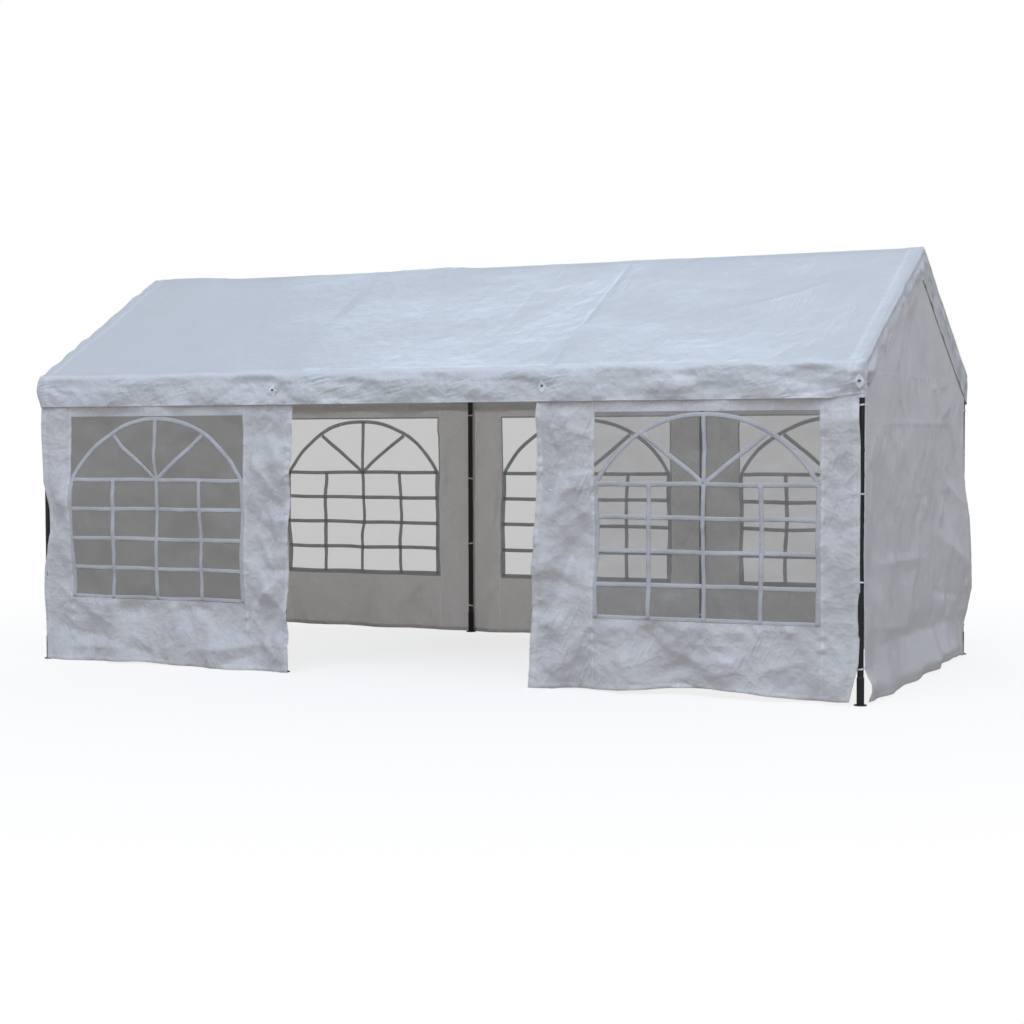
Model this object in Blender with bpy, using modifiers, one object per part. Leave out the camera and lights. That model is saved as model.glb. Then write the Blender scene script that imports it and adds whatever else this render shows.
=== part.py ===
"""Marquee tent, 3 m by 6 m: a bolt-free steel tube frame of four arches, a ridged roof cover
with valances, two plain end walls and five window walls. The middle bay of the front is open.

Metres, +Z up. The origin is on the ground at the centre of the plan, +X runs along the ridge
and the open front faces -Y.
"""

import math

import bmesh
import bpy
from mathutils import Matrix, Vector

# Driving dimensions
BAY = 2.0                   # from one arch to the next
BAYS = 3
HALF_WIDTH = 1.44           # from the centre line to a leg's axis
RIDGE_TOP = 2.84            # top of the cover at the ridge
EAVE_TOP = 2.045            # the cover's bend at the eaves
VALANCE_BOTTOM = 1.825
TUBE_RADIUS = 0.019         # 38 mm tube
FITTING_RADIUS = 0.0215     # fittings that the tubes plug into
HUB_RADIUS = 0.0235         # ball where a fitting's arms meet
STUB = 0.075                # how far a fitting's arm reaches from its centre
CLEARANCE = 0.0003          # between pieces that touch
SHEET = 0.003               # cover and walls
PANE = 0.002                # clear window sheet

# Legs
FOOT_RADIUS = 0.039
FOOT_THICKNESS = 0.006
SLEEVE_RADIUS = 0.0225
SLEEVE_HEIGHT = 0.165
SLEEVE_TAPER = 0.004

# Walls and their windows
WALL_BOTTOM = 0.012
WALL_CORNER = 2.976         # walls stop short of the corner legs, which stay visible
DOOR_HALF = 0.91            # half of the open width between the two front walls
END_WALL_HALF = 1.416
WINDOW_WIDTH = 1.45
WINDOW_BOTTOM = 0.46
WINDOW_TOP = 1.755
WINDOW_OFFSET = 2.03        # window centres of the outer bays

SIDES = 24                  # facets round a tube

# Derived sizes
ARCHES = [(i - BAYS / 2) * BAY for i in range(BAYS + 1)]
WALL_INNER = HALF_WIDTH + HUB_RADIUS + CLEARANCE
WALL_OUTER = WALL_INNER + SHEET
COVER_INNER = WALL_OUTER + CLEARANCE
COVER_OUTER = COVER_INNER + SHEET
END_WALL_INNER = ARCHES[-1] + HUB_RADIUS + CLEARANCE
END_WALL_OUTER = END_WALL_INNER + SHEET
COVER_END_INNER = END_WALL_OUTER + CLEARANCE
COVER_END_OUTER = COVER_END_INNER + SHEET
PITCH = (RIDGE_TOP - EAVE_TOP) / COVER_OUTER            # roof rise per metre of run
SLOPE = math.atan(PITCH)
COVER_LIFT = (HUB_RADIUS + CLEARANCE + SHEET) / math.cos(SLOPE)
RIDGE_AXIS = RIDGE_TOP - COVER_LIFT
EAVE_AXIS = RIDGE_AXIS - PITCH * HALF_WIDTH
VALANCE_DROP = EAVE_TOP - VALANCE_BOTTOM

COLOURS = {
    "black_tube": ((0.012, 0.013, 0.016), 0.35, 0.6),
    "black_fitting": ((0.02, 0.02, 0.022), 0.55, 0.0),
    "white_cover": ((0.72, 0.76, 0.84), 0.6, 0.0),
    "white_wall": ((0.66, 0.67, 0.72), 0.62, 0.0),
    "clear_pane": ((0.62, 0.63, 0.63), 0.2, 0.0),
}


def clear_scene():
    for item in list(bpy.data.objects):
        bpy.data.objects.remove(item, do_unlink=True)


def new_collection(name):
    collection = bpy.data.collections.new(name)
    bpy.context.scene.collection.children.link(collection)
    return collection


def make_material(name):
    colour, roughness, metallic = COLOURS[name]
    material = bpy.data.materials.new(name)
    material.use_nodes = True
    shader = material.node_tree.nodes["Principled BSDF"]
    shader.inputs["Base Color"].default_value = (*colour, 1.0)
    shader.inputs["Roughness"].default_value = roughness
    shader.inputs["Metallic"].default_value = metallic
    return material


def add_object(name, mesh, collection, material):
    item = bpy.data.objects.new(name, mesh)
    item.data.materials.append(material)
    collection.objects.link(item)
    return item


def shade_round(mesh):
    mesh.shade_smooth()
    mesh.set_sharp_from_angle(angle=math.radians(30))


def add_cylinder(bm, start, end, radius):
    """A capped cylinder from start to end."""
    start = Vector(start)
    axis = Vector(end) - start
    turn = Vector((0, 0, 1)).rotation_difference(axis).to_matrix().to_4x4()
    place = Matrix.Translation(start + axis / 2) @ turn
    bmesh.ops.create_cone(bm, cap_ends=True, segments=SIDES, radius1=radius, radius2=radius,
                          depth=axis.length, matrix=place)


def cylinder_mesh(name, start, end, radius):
    bm = bmesh.new()
    add_cylinder(bm, start, end, radius)
    mesh = bpy.data.meshes.new(name)
    bm.to_mesh(mesh)
    bm.free()
    shade_round(mesh)
    return mesh


def between(start, end, trim):
    """The two points that lie trim inside the ends of a line."""
    start, end = Vector(start), Vector(end)
    step = (end - start).normalized() * trim
    return start + step, end - step


def tube(name, start, end):
    """A frame tube that butts against the arms of the fittings at both ends."""
    inner_start, inner_end = between(start, end, STUB + CLEARANCE)
    mesh = cylinder_mesh(name, inner_start, inner_end, TUBE_RADIUS)
    return add_object(name, mesh, parts, materials["black_tube"])


def fitting(name, centre, neighbours):
    """A welded fitting: one short arm from its centre towards each neighbouring point."""
    centre = Vector(centre)
    arms = []
    for index, target in enumerate(neighbours):
        direction = (Vector(target) - centre).normalized()
        mesh = cylinder_mesh(name, centre, centre + direction * STUB, FITTING_RADIUS)
        holder = parts if index == 0 else cutters
        arms.append(add_object(name if index == 0 else f"{name}_arm", mesh, holder,
                               materials["black_fitting"]))
    hub = bpy.data.meshes.new(f"{name}_hub")
    bm = bmesh.new()
    bmesh.ops.create_uvsphere(bm, u_segments=SIDES, v_segments=SIDES // 2,
                              radius=HUB_RADIUS, matrix=Matrix.Translation(centre))
    bm.to_mesh(hub)
    bm.free()
    arms.append(add_object(f"{name}_hub", hub, cutters, materials["black_fitting"]))
    body = arms[0]
    for arm in arms[1:]:
        arm.hide_render = True
        arm.display_type = "WIRE"
        union = body.modifiers.new("join", "BOOLEAN")
        union.operation = "UNION"
        union.object = arm
        union.solver = "EXACT"
    return body


def leg_mesh():
    """A turned leg: round base plate, wider foot sleeve and a straight tube."""
    top = EAVE_AXIS - STUB - CLEARANCE
    outline = [
        (0.0, top),
        (TUBE_RADIUS, top),
        (TUBE_RADIUS, SLEEVE_HEIGHT + SLEEVE_TAPER),
        (SLEEVE_RADIUS, SLEEVE_HEIGHT),
        (SLEEVE_RADIUS, FOOT_THICKNESS),
        (FOOT_RADIUS - FOOT_THICKNESS / 3, FOOT_THICKNESS),
        (FOOT_RADIUS, FOOT_THICKNESS * 2 / 3),
        (FOOT_RADIUS, 0.0),
        (0.0, 0.0),
    ]
    mesh = bpy.data.meshes.new("leg")
    edges = [(i, i + 1) for i in range(len(outline) - 1)]
    mesh.from_pydata([(x, 0.0, z) for x, z in outline], edges, [])
    return mesh


def add_legs():
    mesh = leg_mesh()
    for side, sign in (("front", -1), ("rear", 1)):
        for index, x in enumerate(ARCHES):
            leg = bpy.data.objects.new(f"leg_{side}_{index + 1}", mesh)
            leg.location = (x, sign * HALF_WIDTH, 0.0)
            parts.objects.link(leg)
            screw = leg.modifiers.new("turn", "SCREW")
            screw.axis = "Z"
            screw.steps = SIDES
            screw.render_steps = SIDES
            screw.use_merge_vertices = True
            screw.merge_threshold = 0.0001
            screw.use_smooth_shade = False
    mesh.materials.append(materials["black_tube"])


def eave_point(index, sign):
    return (ARCHES[index], sign * HALF_WIDTH, EAVE_AXIS)


def ridge_point(index):
    return (ARCHES[index], 0.0, RIDGE_AXIS)


def add_arches():
    """Eave and ridge fittings of the four arches, with the rafters between them."""
    last = len(ARCHES) - 1
    for index in range(len(ARCHES)):
        beside = [i for i in (index - 1, index + 1) if 0 <= i <= last]
        for side, sign in (("front", -1), ("rear", 1)):
            centre = eave_point(index, sign)
            below = (centre[0], centre[1], 0.0)
            along = [eave_point(i, sign) for i in beside]
            fitting(f"eave_fitting_{side}_{index + 1}", centre, [below, *along, ridge_point(index)])
            tube(f"rafter_{side}_{index + 1}", centre, ridge_point(index))
        slopes = [eave_point(index, sign) for sign in (-1, 1)]
        along = [ridge_point(i) for i in beside]
        fitting(f"ridge_fitting_{index + 1}", ridge_point(index), [*along, *slopes])


def add_rails():
    """Eave rails and ridge bars, one for each bay."""
    for index in range(BAYS):
        for side, sign in (("front", -1), ("rear", 1)):
            tube(f"eave_rail_{side}_{index + 1}", eave_point(index, sign), eave_point(index + 1, sign))
        tube(f"ridge_bar_{index + 1}", ridge_point(index), ridge_point(index + 1))


def roof_height(y):
    """Height of the cover's outer face above a point y from the centre line."""
    return RIDGE_TOP - PITCH * abs(y)


def prism_mesh(name, outline, half_length):
    """An outline in the YZ plane, extruded to both sides along X."""
    bm = bmesh.new()
    face = bm.faces.new([bm.verts.new((-half_length, y, z)) for y, z in outline])
    moved = bmesh.ops.extrude_face_region(bm, geom=[face])["geom"]
    corners = [item for item in moved if isinstance(item, bmesh.types.BMVert)]
    bmesh.ops.translate(bm, verts=corners, vec=(2 * half_length, 0.0, 0.0))
    bmesh.ops.recalc_face_normals(bm, faces=bm.faces)
    mesh = bpy.data.meshes.new(name)
    bm.to_mesh(mesh)
    bm.free()
    return mesh


def add_cover():
    """The roof cover: two slopes, the valances along the eaves and a strip down both rakes."""
    skin = SHEET / math.cos(SLOPE)
    outer = [
        (-COVER_OUTER, VALANCE_BOTTOM),
        (-COVER_OUTER, EAVE_TOP),
        (0.0, RIDGE_TOP),
        (COVER_OUTER, EAVE_TOP),
        (COVER_OUTER, VALANCE_BOTTOM),
        (0.0, RIDGE_TOP - VALANCE_DROP),
    ]
    inner = [
        (-COVER_INNER, VALANCE_BOTTOM / 2),
        (-COVER_INNER, roof_height(COVER_INNER) - skin),
        (0.0, RIDGE_TOP - skin),
        (COVER_INNER, roof_height(COVER_INNER) - skin),
        (COVER_INNER, VALANCE_BOTTOM / 2),
    ]
    cover = add_object("roof_cover", prism_mesh("roof_cover", outer, COVER_END_OUTER), parts,
                       materials["white_cover"])
    hollow = add_object("roof_hollow", prism_mesh("roof_hollow", inner, COVER_END_INNER), cutters,
                        materials["white_cover"])
    hollow.hide_render = True
    hollow.display_type = "WIRE"
    cut = cover.modifiers.new("hollow", "BOOLEAN")
    cut.operation = "DIFFERENCE"
    cut.object = hollow
    cut.solver = "EXACT"


def flat_sheet(name, outline, holes, thickness, place, material):
    """A flat sheet cut to an outline with holes, standing in the plane that place gives."""
    curve = bpy.data.curves.new(name, "CURVE")
    curve.dimensions = "2D"
    curve.fill_mode = "BOTH"
    curve.extrude = thickness / 2
    for loop in [outline, *holes]:
        spline = curve.splines.new("POLY")
        spline.points.add(len(loop) - 1)
        for point, (u, v) in zip(spline.points, loop):
            point.co = (u, v, 0.0, 1.0)
        spline.use_cyclic_u = True
    sheet = bpy.data.objects.new(name, curve)
    sheet.matrix_world = place
    curve.materials.append(material)
    parts.objects.link(sheet)
    return sheet


def rectangle(left, right, bottom, top):
    return [(left, bottom), (right, bottom), (right, top), (left, top)]


def add_side_wall(name, sign, left, right, window):
    """A wall along the front or the rear, with its window cut through and a pane in it."""
    middle = sign * (WALL_INNER + WALL_OUTER) / 2
    upright = Matrix.Translation((0.0, middle, 0.0)) @ Matrix.Rotation(math.pi / 2, 4, "X")
    half = WINDOW_WIDTH / 2
    hole = rectangle(window - half, window + half, WINDOW_BOTTOM, WINDOW_TOP)
    flat_sheet(f"{name}_wall", rectangle(left, right, WALL_BOTTOM, EAVE_AXIS), [hole], SHEET,
               upright, materials["white_wall"])
    edge = half - CLEARANCE
    pane = rectangle(window - edge, window + edge, WINDOW_BOTTOM + CLEARANCE, WINDOW_TOP - CLEARANCE)
    flat_sheet(f"{name}_window", pane, [], PANE, upright, materials["clear_pane"])


def add_side_walls():
    seam = ARCHES[2] - CLEARANCE / 2
    rear_outer = ARCHES[2] + CLEARANCE / 2
    add_side_wall("front_left", -1, -WALL_CORNER, -DOOR_HALF, -WINDOW_OFFSET)
    add_side_wall("front_right", -1, DOOR_HALF, WALL_CORNER, WINDOW_OFFSET)
    add_side_wall("rear_left", 1, -WALL_CORNER, -rear_outer, -WINDOW_OFFSET)
    add_side_wall("rear_middle", 1, -seam, seam, 0.0)
    add_side_wall("rear_right", 1, rear_outer, WALL_CORNER, WINDOW_OFFSET)


def add_end_walls():
    """Plain end walls: upright to the eaves, then following the roof up to the ridge."""
    shoulder = RIDGE_AXIS - PITCH * END_WALL_HALF
    outline = [
        (-END_WALL_HALF, WALL_BOTTOM),
        (END_WALL_HALF, WALL_BOTTOM),
        (END_WALL_HALF, shoulder),
        (0.0, RIDGE_AXIS),
        (-END_WALL_HALF, shoulder),
    ]
    for side, sign in (("left", -1), ("right", 1)):
        middle = sign * (END_WALL_INNER + END_WALL_OUTER) / 2
        place = (Matrix.Translation((middle, 0.0, 0.0)) @ Matrix.Rotation(math.pi / 2, 4, "Z")
                 @ Matrix.Rotation(math.pi / 2, 4, "X"))
        flat_sheet(f"end_wall_{side}", outline, [], SHEET, place, materials["white_wall"])


clear_scene()
parts = new_collection("marquee_tent")
cutters = new_collection("cutters")
materials = {name: make_material(name) for name in COLOURS}
add_legs()
add_arches()
add_rails()
add_cover()
add_side_walls()
add_end_walls()
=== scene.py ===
"""The looks of a 3 m by 6 m marquee tent: sheet cover, hung walls, clear windows, ties and painted tube.

Metres. +X runs along the ridge, -Y out of the open front bay, +Z up. Each sheet is a grid of points
on its own flat chart, carried onto the tent and lifted off it by folds that are sums of formulas."""
import bpy
import numpy as np
from mathutils import Matrix, Vector


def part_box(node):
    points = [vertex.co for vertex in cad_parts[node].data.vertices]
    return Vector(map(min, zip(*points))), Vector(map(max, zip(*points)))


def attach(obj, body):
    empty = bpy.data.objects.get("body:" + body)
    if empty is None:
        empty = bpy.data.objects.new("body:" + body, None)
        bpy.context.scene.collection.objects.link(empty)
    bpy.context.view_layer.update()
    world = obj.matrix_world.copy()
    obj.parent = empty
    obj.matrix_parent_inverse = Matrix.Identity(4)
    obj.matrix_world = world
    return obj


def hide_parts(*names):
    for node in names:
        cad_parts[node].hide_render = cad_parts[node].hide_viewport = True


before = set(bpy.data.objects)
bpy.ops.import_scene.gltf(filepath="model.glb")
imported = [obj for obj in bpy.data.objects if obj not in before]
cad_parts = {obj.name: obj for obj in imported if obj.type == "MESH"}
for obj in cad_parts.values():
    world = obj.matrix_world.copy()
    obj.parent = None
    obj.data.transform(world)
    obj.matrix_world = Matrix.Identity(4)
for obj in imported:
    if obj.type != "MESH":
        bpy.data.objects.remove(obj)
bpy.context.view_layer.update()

# Places read from the frame
COVER_LOW, COVER_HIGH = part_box("roof_cover")
HALF_LENGTH = COVER_HIGH.x
HALF_WIDTH = COVER_HIGH.y
RIDGE_TOP = COVER_HIGH.z
VALANCE_BOTTOM = COVER_LOW.z
SIDE_WALL_LOW, SIDE_WALL_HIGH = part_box("rear_right_wall")
END_WALL_LOW, END_WALL_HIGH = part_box("end_wall_right")
SIDE_PLANE = (SIDE_WALL_LOW.y + SIDE_WALL_HIGH.y) / 2
END_PLANE = (END_WALL_LOW.x + END_WALL_HIGH.x) / 2
LEG_X = [sum(corner.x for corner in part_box(f"leg_rear_{number}")) / 2 for number in (1, 2, 3, 4)]
LEG_Y = sum(corner.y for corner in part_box("leg_rear_1")) / 2
RIDGE_AXIS = sum(corner.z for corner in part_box("ridge_bar_2")) / 2
EAVE_AXIS = sum(corner.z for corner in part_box("eave_rail_rear_2")) / 2
BAY = LEG_X[1] - LEG_X[0]

# Sizes of the cover
HEM = 0.03
VALANCE_DROP = 0.22
EAVE_TOP = VALANCE_BOTTOM + VALANCE_DROP
PITCH = np.arctan2(RIDGE_TOP - EAVE_TOP, HALF_WIDTH)
SLOPE = HALF_WIDTH / np.cos(PITCH)
EDGE_ROUND = 0.022
RAKE_BAND = 0.09
EAVE_SEAM = 0.085
SEAM_HALF = 0.005
ROUND_MARKS = (EDGE_ROUND, EDGE_ROUND / 2, EDGE_ROUND / 4)
HEM_LINE = VALANCE_DROP - HEM
LINE_HALF = 0.002
COVER_STEP = 0.0165
DROP_STEP = 0.013
TUBE_CLEAR = (RIDGE_TOP - RIDGE_AXIS) * np.cos(PITCH)

# Sizes of the walls and windows
HEM_GAP = 0.0022
STITCH = 0.005
STITCH_EDGE = 0.001
WALL_STEP = 0.0125
END_WALL_STEP = 0.0145
GABLE_FROM = 1.9
GABLE_SEAM = 1.98
HEM_DROP = 0.009
WINDOW_LAP = 0.012
SPRING = 0.845
ARCH_RISE = 0.43
SPOKES = ((0.0, 0.43), (-0.39, 0.31), (0.39, 0.31))
BAR_WIDTH = 0.029
BAR_THICKNESS = 0.0012
BAR_INSET = 0.01
BAR_LEVEL = 0.0004
WINDOW_CALM = 0.35
PACKING_STEP = (0.52, 0.44)
PACKING_WIDTH = 0.02

# Ties and patches
TIE_HEIGHTS = (0.22, 0.73, 1.26, 1.78)
TIE_REACH = 0.014
TIE_RADIUS = 0.0212
LOOP_INSET = 0.036
LOOP_OUT = 0.004
LOOP_HALF = (0.011, 0.007)
PATCH_HALF = (0.033, 0.046)
PATCH_DROP = 0.13
PATCH_SHIFT = 0.048
GABLE_PATCH_IN = 0.075
EYELET_DROP = 0.008

# Slack of hung cloth, and the rounding where it meets what it rests on
SLACK = 0.05
CROSSING = 0.0015


# Numbers along a line, and fields over a sheet

def stations(start, stop, spacing, *through):
    """Sample places from start to stop, about spacing apart, that pass through each given place."""
    inside = [place for place in through if start < place < stop]
    marks = np.unique(np.round([start, *inside, stop], 5))
    runs = [np.linspace(a, b, max(2, round((b - a) / spacing) + 1))[:-1] for a, b in zip(marks, marks[1:])]
    return np.append(np.concatenate(runs), marks[-1])


def hemmed(places, first=True, last=True):
    """Sample places with the hem folded back behind either end, and how many layers behind each lies.

    The fold turns through half a layer just outside the end."""
    turn = HEM_GAP / 2
    layers = np.zeros(len(places))
    if first:
        back = places[places <= places[0] + HEM + 1e-6][::-1]
        layers = np.concatenate([np.ones(len(back)), [0.5], layers])
        places = np.concatenate([back, [places[0] - turn], places])
    if last:
        back = places[places >= places[-1] - HEM - 1e-6][::-1]
        layers = np.concatenate([layers, [0.5], np.ones(len(back))])
        places = np.concatenate([places, [places[-1] + turn], back])
    return places, layers


def ease(start, stop, value):
    """0 before start, 1 after stop, and the cubic 3t^2 - 2t^3 between."""
    t = np.clip((value - start) / (stop - start), 0, 1)
    return t * t * (3 - 2 * t)


def bell(distance, width):
    """exp(-(distance / width)^2)."""
    return np.exp(-(distance / width) ** 2)


def waves(seed, u, v, length, heading=0.0, spread=np.pi, count=20):
    """Plane cosines of about one length, headed within spread of heading, added up to a mean square of 1."""
    rng = np.random.default_rng(seed)
    field = np.zeros(np.broadcast(u, v).shape)
    for _ in range(count):
        angle = heading + rng.uniform(-spread, spread)
        rate = 2 * np.pi / (length * rng.uniform(0.7, 1.4))
        field += np.cos(rate * (u * np.cos(angle) + v * np.sin(angle)) + rng.uniform(0, 2 * np.pi))
    return field * np.sqrt(2 / count)


def cells(seed, u, v, size, period=64):
    """The distance to the nearest of a net of random points, one in each square of the given size.

    The net repeats after period squares."""
    spots = np.random.default_rng(seed).random((period, period, 2))
    a, b = np.broadcast_arrays(u / size, v / size)
    column, row = np.floor(a).astype(int), np.floor(b).astype(int)
    nearest = np.full(a.shape, np.inf)
    for right in (-1, 0, 1):
        for up in (-1, 0, 1):
            spot = spots[(column + right) % period, (row + up) % period]
            distance = np.hypot(a - column - right - spot[..., 0], b - row - up - spot[..., 1])
            nearest = np.minimum(nearest, distance)
    return nearest * size


def crumple(seed, u, v, size, slope, octaves=3):
    """Facets that meet in sharp ridges and valleys: one net of cones less another, at halving sizes.

    Each octave has the same slope. The nets are warped by waves."""
    field = 0
    for number in range(octaves):
        scale = size / 2 ** number
        warp, length = 0.12 * scale, 1.6 * scale
        bend_u = u + warp * waves(seed + 50 + number, u, v, length, count=8)
        bend_v = v + warp * waves(seed + 60 + number, u, v, length, count=8)
        field = field + slope * cells(seed + 2 * number, bend_u, bend_v, scale)
        field = field - slope * cells(seed + 2 * number + 1, bend_u, bend_v, scale)
    return field


def creases(u, v, lines):
    """Straight creases (u0, v0, u1, v1, width, height): exp(-distance / width) aside, sine squared along.

    A pair of widths is for the right and the left hand of the line."""
    field = np.zeros(np.broadcast(u, v).shape)
    for u0, v0, u1, v1, width, height in lines:
        right, left = width if isinstance(width, tuple) else (width, width)
        length = np.hypot(u1 - u0, v1 - v0)
        along = np.clip(((u - u0) * (u1 - u0) + (v - v0) * (v1 - v0)) / length ** 2, 0, 1)
        aside = ((u - u0) * (v1 - v0) - (v - v0) * (u1 - u0)) / length
        blunt = np.hypot(aside, 0.15 * min(right, left))
        widths = np.where(aside > 0, right, left)
        field += height * np.exp(-blunt / widths) * np.sin(np.pi * along) ** 2
    return field


def scattered(seed, count, low, high, length, width, height, heading=0.0, spread=np.pi):
    """Random lines for creases(), with their middles in a box and their ranges given as pairs."""
    rng = np.random.default_rng(seed)
    lines = []
    for _ in range(count):
        angle = heading + rng.uniform(-spread, spread)
        half = rng.uniform(*length) / 2
        u = rng.uniform(low[0], high[0])
        v = rng.uniform(low[1], high[1])
        du, dv = half * np.cos(angle), half * np.sin(angle)
        sides = rng.uniform(*width), rng.uniform(*width)
        lines.append((u - du, v - dv, u + du, v + dv, sides, rng.uniform(*height)))
    return lines


def patchy(seed, u, v, length, least):
    """A share from least to 1 that changes over the sheet: a smooth step of waves."""
    return least + (1 - least) * ease(-0.7, 0.9, waves(seed, u, v, length, count=10))


def fan(u, v, centre, heading, spread, reach, ribs, height):
    """Folds that leave a point like a fan's ribs: cos(ribs times angle), strongest at a third of reach."""
    radius = np.hypot(u - centre[0], v - centre[1])
    angle = np.arctan2(v - centre[1], u - centre[0]) - heading
    angle = (angle + np.pi) % (2 * np.pi) - np.pi
    near = 3 * radius / reach
    return height * near * np.exp(1 - near) * bell(angle, spread) * np.cos(ribs * angle)


def at_least(least, field):
    """The larger of two fields, rounded where they cross.

    least + CROSSING log(1 + exp((field - least) / CROSSING))"""
    return least + CROSSING * np.logaddexp(0, (field - least) / CROSSING)


# Meshes

def build(name, points, quads, chart, finish, slot, nodes=(), layers=None, second=None):
    """A smooth shaded piece of quads. The chart, places on the flat cloth in metres, becomes its UV map.

    The attribute layers is 1 where the cloth is doubled, and on the cover also along the eave bends as a
    painted highlight. The pair second is another finish and its faces."""
    used, index = np.unique(quads, return_inverse=True)
    index = index.reshape(-1, 4)
    mesh = bpy.data.meshes.new(name)
    mesh.from_pydata(points[used].tolist(), [], index.tolist())
    layer = mesh.uv_layers.new(name="cloth")
    layer.data.foreach_set("uv", chart[used][index.ravel()].astype(np.float32).ravel())
    shares = np.zeros(len(used)) if layers is None else layers[used]
    # The layers attribute: doubled cloth, and on the cover a painted highlight along the eave bends.
    doubling_and_highlight = mesh.attributes.new("layers", "FLOAT", "POINT")
    doubling_and_highlight.data.foreach_set("value", shares.astype(np.float32))
    mesh.materials.append(finish)
    if second:
        mesh.materials.append(second[0])
        mesh.polygons.foreach_set("material_index", second[1].astype(np.int32))
    mesh.shade_smooth()
    piece = bpy.data.objects.new(name, mesh)
    bpy.context.scene.collection.objects.link(piece)
    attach(piece, "root")
    if nodes:
        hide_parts(*nodes)
    return piece


def grid_quads(rows, columns, keep=None):
    """The corner numbers of a grid's cells, anticlockwise, apart from the cells that keep leaves out."""
    corner = np.arange(rows * columns).reshape(rows, columns)
    quads = np.stack([corner[:-1, :-1], corner[:-1, 1:], corner[1:, 1:], corner[1:, :-1]], -1)
    return quads.reshape(-1, 4) if keep is None else quads[keep]


def skin(name, points, chart, finish, slot, nodes=(), keep=None, layers=None):
    """A piece through a grid of points (rows, columns, xyz)."""
    rows, columns = points.shape[:2]
    quads = grid_quads(rows, columns, keep)
    flat = None if layers is None else layers.ravel()
    return build(name, points.reshape(-1, 3), quads, chart.reshape(-1, 2), finish, slot, nodes, flat)


def joined(name, grids, finish, slot, nodes=()):
    """One piece from several grids of points, each (points, chart)."""
    points, chart, quads, start = [], [], [], 0
    for grid, places in grids:
        rows, columns = grid.shape[:2]
        points.append(grid.reshape(-1, 3))
        chart.append(places.reshape(-1, 2))
        quads.append(grid_quads(rows, columns) + start)
        start += rows * columns
    return build(name, *map(np.concatenate, (points, quads, chart)), finish, slot, nodes)


def thicken(piece, thickness, offset):
    """Gives an open piece its thickness."""
    solid = piece.modifiers.new("thickness", "SOLIDIFY")
    solid.thickness = thickness
    solid.offset = offset


def band(path, half_width, half_height, sides=10):
    """A closed loop of flat cord: an ellipse of points carried round a flat ring, as (points, chart)."""
    heading = np.roll(path, -1, 0) - np.roll(path, 1, 0)
    heading /= np.linalg.norm(heading, axis=1, keepdims=True)
    arm = path - path.mean(0)
    up = np.cross(arm, heading).mean(0)
    up = np.broadcast_to(up / np.linalg.norm(up), heading.shape)
    out = np.cross(heading, up)
    turn = np.linspace(0, 2 * np.pi, sides + 1)
    wide = np.cos(turn)[None, :, None] * half_width * out[:, None]
    high = np.sin(turn)[None, :, None] * half_height * up[:, None]
    points = path[:, None] + (wide + high)
    points = np.concatenate([points, points[:1]])
    around = np.arange(len(points)) * np.linalg.norm(path[1] - path[0])
    chart = np.stack(np.broadcast_arrays(around[:, None], turn[None] * half_width), -1)
    return points, chart


# Upright faces of the tent

class Side:
    """An upright face: across runs to the right as seen from outside, out is the outward normal."""

    def __init__(self, across, out, distance):
        self.across = np.array(across, float)
        self.out = np.array(out, float)
        self.distance = distance

    def place(self, u, z, lift):
        """The point u across the face at height z, lifted off it."""
        u, z, lift = np.broadcast_arrays(u, z, lift)
        flat = u[..., None] * self.across + (self.distance + lift)[..., None] * self.out
        return np.concatenate([flat, z[..., None]], -1)


FRONT = Side((1, 0), (0, -1), SIDE_PLANE)
REAR = Side((-1, 0), (0, 1), SIDE_PLANE)
RIGHT = Side((0, 1), (1, 0), END_PLANE)
LEFT = Side((0, -1), (-1, 0), END_PLANE)


# Finishes

def node(tree, kind, **values):
    """A shader node with its sockets and settings filled in. A value may be another node's output."""
    made = tree.nodes.new(kind)
    for key, value in values.items():
        if hasattr(made, key):
            setattr(made, key, value)
            continue
        socket = made.inputs[int(key[1:]) if key[0] == "_" else key.replace("_", " ")]
        if isinstance(value, bpy.types.NodeSocket):
            tree.links.new(value, socket)
        else:
            socket.default_value = value
    return made


def group(name, inputs, outputs):
    """An empty shader node group with named sockets, and its input and output nodes."""
    tree = bpy.data.node_groups.new(name, "ShaderNodeTree")
    for label, kind in inputs:
        tree.interface.new_socket(label, in_out="INPUT", socket_type=kind)
    for label, kind in outputs:
        tree.interface.new_socket(label, in_out="OUTPUT", socket_type=kind)
    return tree, tree.nodes.new("NodeGroupInput"), tree.nodes.new("NodeGroupOutput")


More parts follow.
